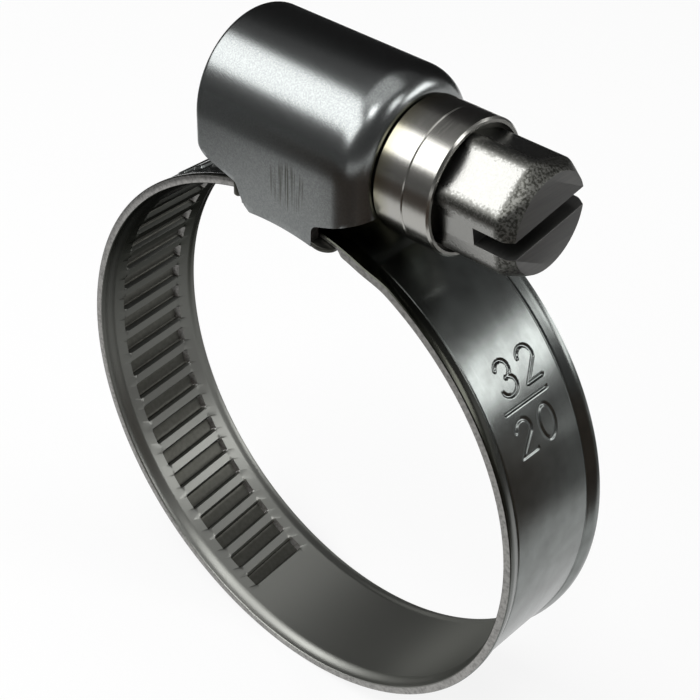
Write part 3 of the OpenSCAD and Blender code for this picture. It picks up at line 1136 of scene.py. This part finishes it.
# %% Forge the head
head_points = 180
cone_len = 1.3 * mm
cone_step = 0.1 * mm
end_facing = 0.9
slot_angle = math.radians(10)
bm = bmesh.new()
ring = bmesh.ops.create_circle(bm, segments=head_points, radius=end_r,
                               matrix=Matrix.Rotation(math.pi / 2, 4, "Y"))["verts"]
place_ring(ring, recess_x)
edges = list(bm.edges)
for x in spaced(head_x - cone_len, head_x, cone_step):
    grown = bmesh.ops.extrude_edge_only(bm, edges=edges)["geom"]
    edges = [part for part in grown if isinstance(part, bmesh.types.BMEdge)]
    place_ring([part for part in grown if isinstance(part, bmesh.types.BMVert)], x)
close_ends(bm)
tilt = Matrix.Translation((0, 0, screw_z)) @ Matrix.Rotation(slot_angle, 4, "X")
bmesh.ops.transform(bm, matrix=tilt, verts=bm.verts)
for face in bm.faces:
    face.material_index = 1 if face.normal.x > end_facing else 0
head = make_piece("screw_head_hexagon", bm, [forged_steel, cut_end])
print("head without its slot:", len(head.data.polygons), "faces")

# %% Cut the slot
slot_w = 1.2 * mm
slot_d = 2.6 * mm
head_soft = 0.06 * mm
bm = bmesh.new()
# The blade is wider than the head, and half of its length goes in
blade = Matrix.Translation((head_x, 0, 0)) @ Matrix.Diagonal((2 * slot_d, 4 * hex_af, slot_w, 1))
bmesh.ops.create_cube(bm, size=1, matrix=tilt @ blade)
for face in bm.faces:
    face.material_index = 1
cut(head, make_piece("driver_blade", bm, [forged_steel, cut_end]))
soften(head, head_soft)
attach(head, "screw")
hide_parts("worm_screw")
print("head:", len(head.data.polygons), "faces")

# %% [markdown]
# ## Floor and light
#
# The photograph is lit softly and has a white ground. A pale floor lies under the ring. The camera, and the
# metal that mirrors the floor, see it whiter than it is lit, which leaves only a soft shadow.

# %% Floor
floor_z = cad_box[0][2]
floor_half = 2.0
floor_glow = 0.85
bm = bmesh.new()
bmesh.ops.create_grid(bm, x_segments=1, y_segments=1, size=floor_half)
bmesh.ops.translate(bm, verts=bm.verts, vec=(0, 0, floor_z))
floor_paint = bpy.data.materials.new("pale_floor")
floor_paint.use_nodes = True
tree = floor_paint.node_tree
paint = tree.nodes["Principled BSDF"]
paint.inputs["Base Color"].default_value = linear("F4F4F4")
paint.inputs["Roughness"].default_value = 0.9
path = add(tree, "ShaderNodeLightPath")
seen = add(tree, "ShaderNodeMath", {"operation": "MAXIMUM"},
           {0: path.outputs["Is Camera Ray"], 1: path.outputs["Is Glossy Ray"]})
seen = add(tree, "ShaderNodeMath", {"operation": "MAXIMUM"},
           {0: seen.outputs["Value"], 1: path.outputs["Is Transmission Ray"]})
share = add(tree, "ShaderNodeMath", {"operation": "MULTIPLY", 1: floor_glow}, {0: seen.outputs["Value"]})
glow = add(tree, "ShaderNodeEmission", {"Color": linear("FFFFFF"), "Strength": 1.0})
mixed = add(tree, "ShaderNodeMixShader", None,
            {0: share.outputs["Value"], 1: paint.outputs["BSDF"], 2: glow.outputs["Emission"]})
tree.links.new(mixed.outputs["Shader"], tree.nodes["Material Output"].inputs["Surface"])
floor = make_piece("floor", bm, [floor_paint])
print("floor at", round(floor_z / mm, 2), "mm")

# %% [markdown]
# ### Lamps
#
# Steel shows what stands round it. A wide box overhead gives soft light all over, and a low one at the back
# right lights the rest from behind. A long window at the front left makes the bright stripe along the
# housing, a box at the right lights the band, and a small lamp high at the front whitens one flat of the
# head. A black card at the back keeps the top of the housing dark, and low grey and brown cards take the
# floor's white out of the walls.

# %% World
world = bpy.data.worlds.new("studio")
bpy.context.scene.world = world
world.use_nodes = True
world.node_tree.nodes["Background"].inputs["Color"].default_value = linear("666666")
world.node_tree.nodes["Background"].inputs["Strength"].default_value = 1.0
bpy.context.scene.view_settings.view_transform = "Standard"


# %% Lamps
def toward(azimuth, elevation):
    turn, rise = math.radians(azimuth), math.radians(elevation)
    return Vector((math.cos(turn) * math.cos(rise), math.sin(turn) * math.cos(rise), math.sin(rise)))


def lamp(name, azimuth, elevation, size, brightness, distance=350 * mm):
    """A soft box that faces the ring. Its brightness is what a mirror would show, where 1 is white."""
    light = bpy.data.lights.new(name, "AREA")
    light.shape = "RECTANGLE"
    light.size, light.size_y = size
    light.energy = math.pi * light.size * light.size_y * brightness
    holder = bpy.data.objects.new(name, light)
    direction = toward(azimuth, elevation)
    holder.location = direction * distance
    holder.rotation_euler = direction.to_track_quat("Z", "Y").to_euler()
    bpy.context.scene.collection.objects.link(holder)
    return holder


lamps = [
    lamp("overhead_box", 0, 90, (320 * mm, 320 * mm), 1.1),
    lamp("front_window", -127, 44, (430 * mm, 195 * mm), 4.2),
    lamp("right_box", 13, 42, (90 * mm, 90 * mm), 4.5),
    lamp("front_spot", -58, 63, (70 * mm, 70 * mm), 9),
    lamp("back_glow", 45, 24, (200 * mm, 84 * mm), 5.2),
]
print("lamps:", len(lamps))


# %% Cards
def card(name, azimuth, elevation, size, colour, distance):
    """A card that faces the ring. Only metal shows it: the camera can't see it, and it casts no shadow."""
    bm = bmesh.new()
    bmesh.ops.create_grid(bm, x_segments=1, y_segments=1, size=0.5)
    bmesh.ops.scale(bm, verts=bm.verts, vec=(size[0], size[1], 1))
    direction = toward(azimuth, elevation)
    bmesh.ops.rotate(bm, verts=bm.verts, matrix=direction.to_track_quat("Z", "Y").to_matrix())
    bmesh.ops.translate(bm, verts=bm.verts, vec=direction * distance)
    paint = bpy.data.materials.new(name)
    paint.use_nodes = True
    paint.node_tree.nodes["Principled BSDF"].inputs["Base Color"].default_value = linear(colour)
    paint.node_tree.nodes["Principled BSDF"].inputs["Roughness"].default_value = 0.9
    piece = make_piece(name, bm, [paint])
    piece.visible_camera = False
    piece.visible_shadow = False
    piece.visible_diffuse = False
    return piece


cards = [
    card("back_card", 128, 24, (240 * mm, 150 * mm), "101010", 125 * mm),
    card("right_card", 43, -8, (120 * mm, 22 * mm), "909090", 60 * mm),
    card("left_card", -135, 2, (200 * mm, 42 * mm), "808080", 76 * mm),
    card("front_card", -75, -2, (110 * mm, 34 * mm), "5E5249", 45 * mm),
    card("corner_card", -10, -2, (70 * mm, 34 * mm), "5E5249", 42 * mm),
]
print("cards:", len(cards))

# %% [markdown]
# ## The CAD model's box
#
# The CAD model's box, measured when it was loaded, is printed.

# %% Print the CAD box
print("CAD box", [[round(c / mm, 2) for c in corner] for corner in cad_box])
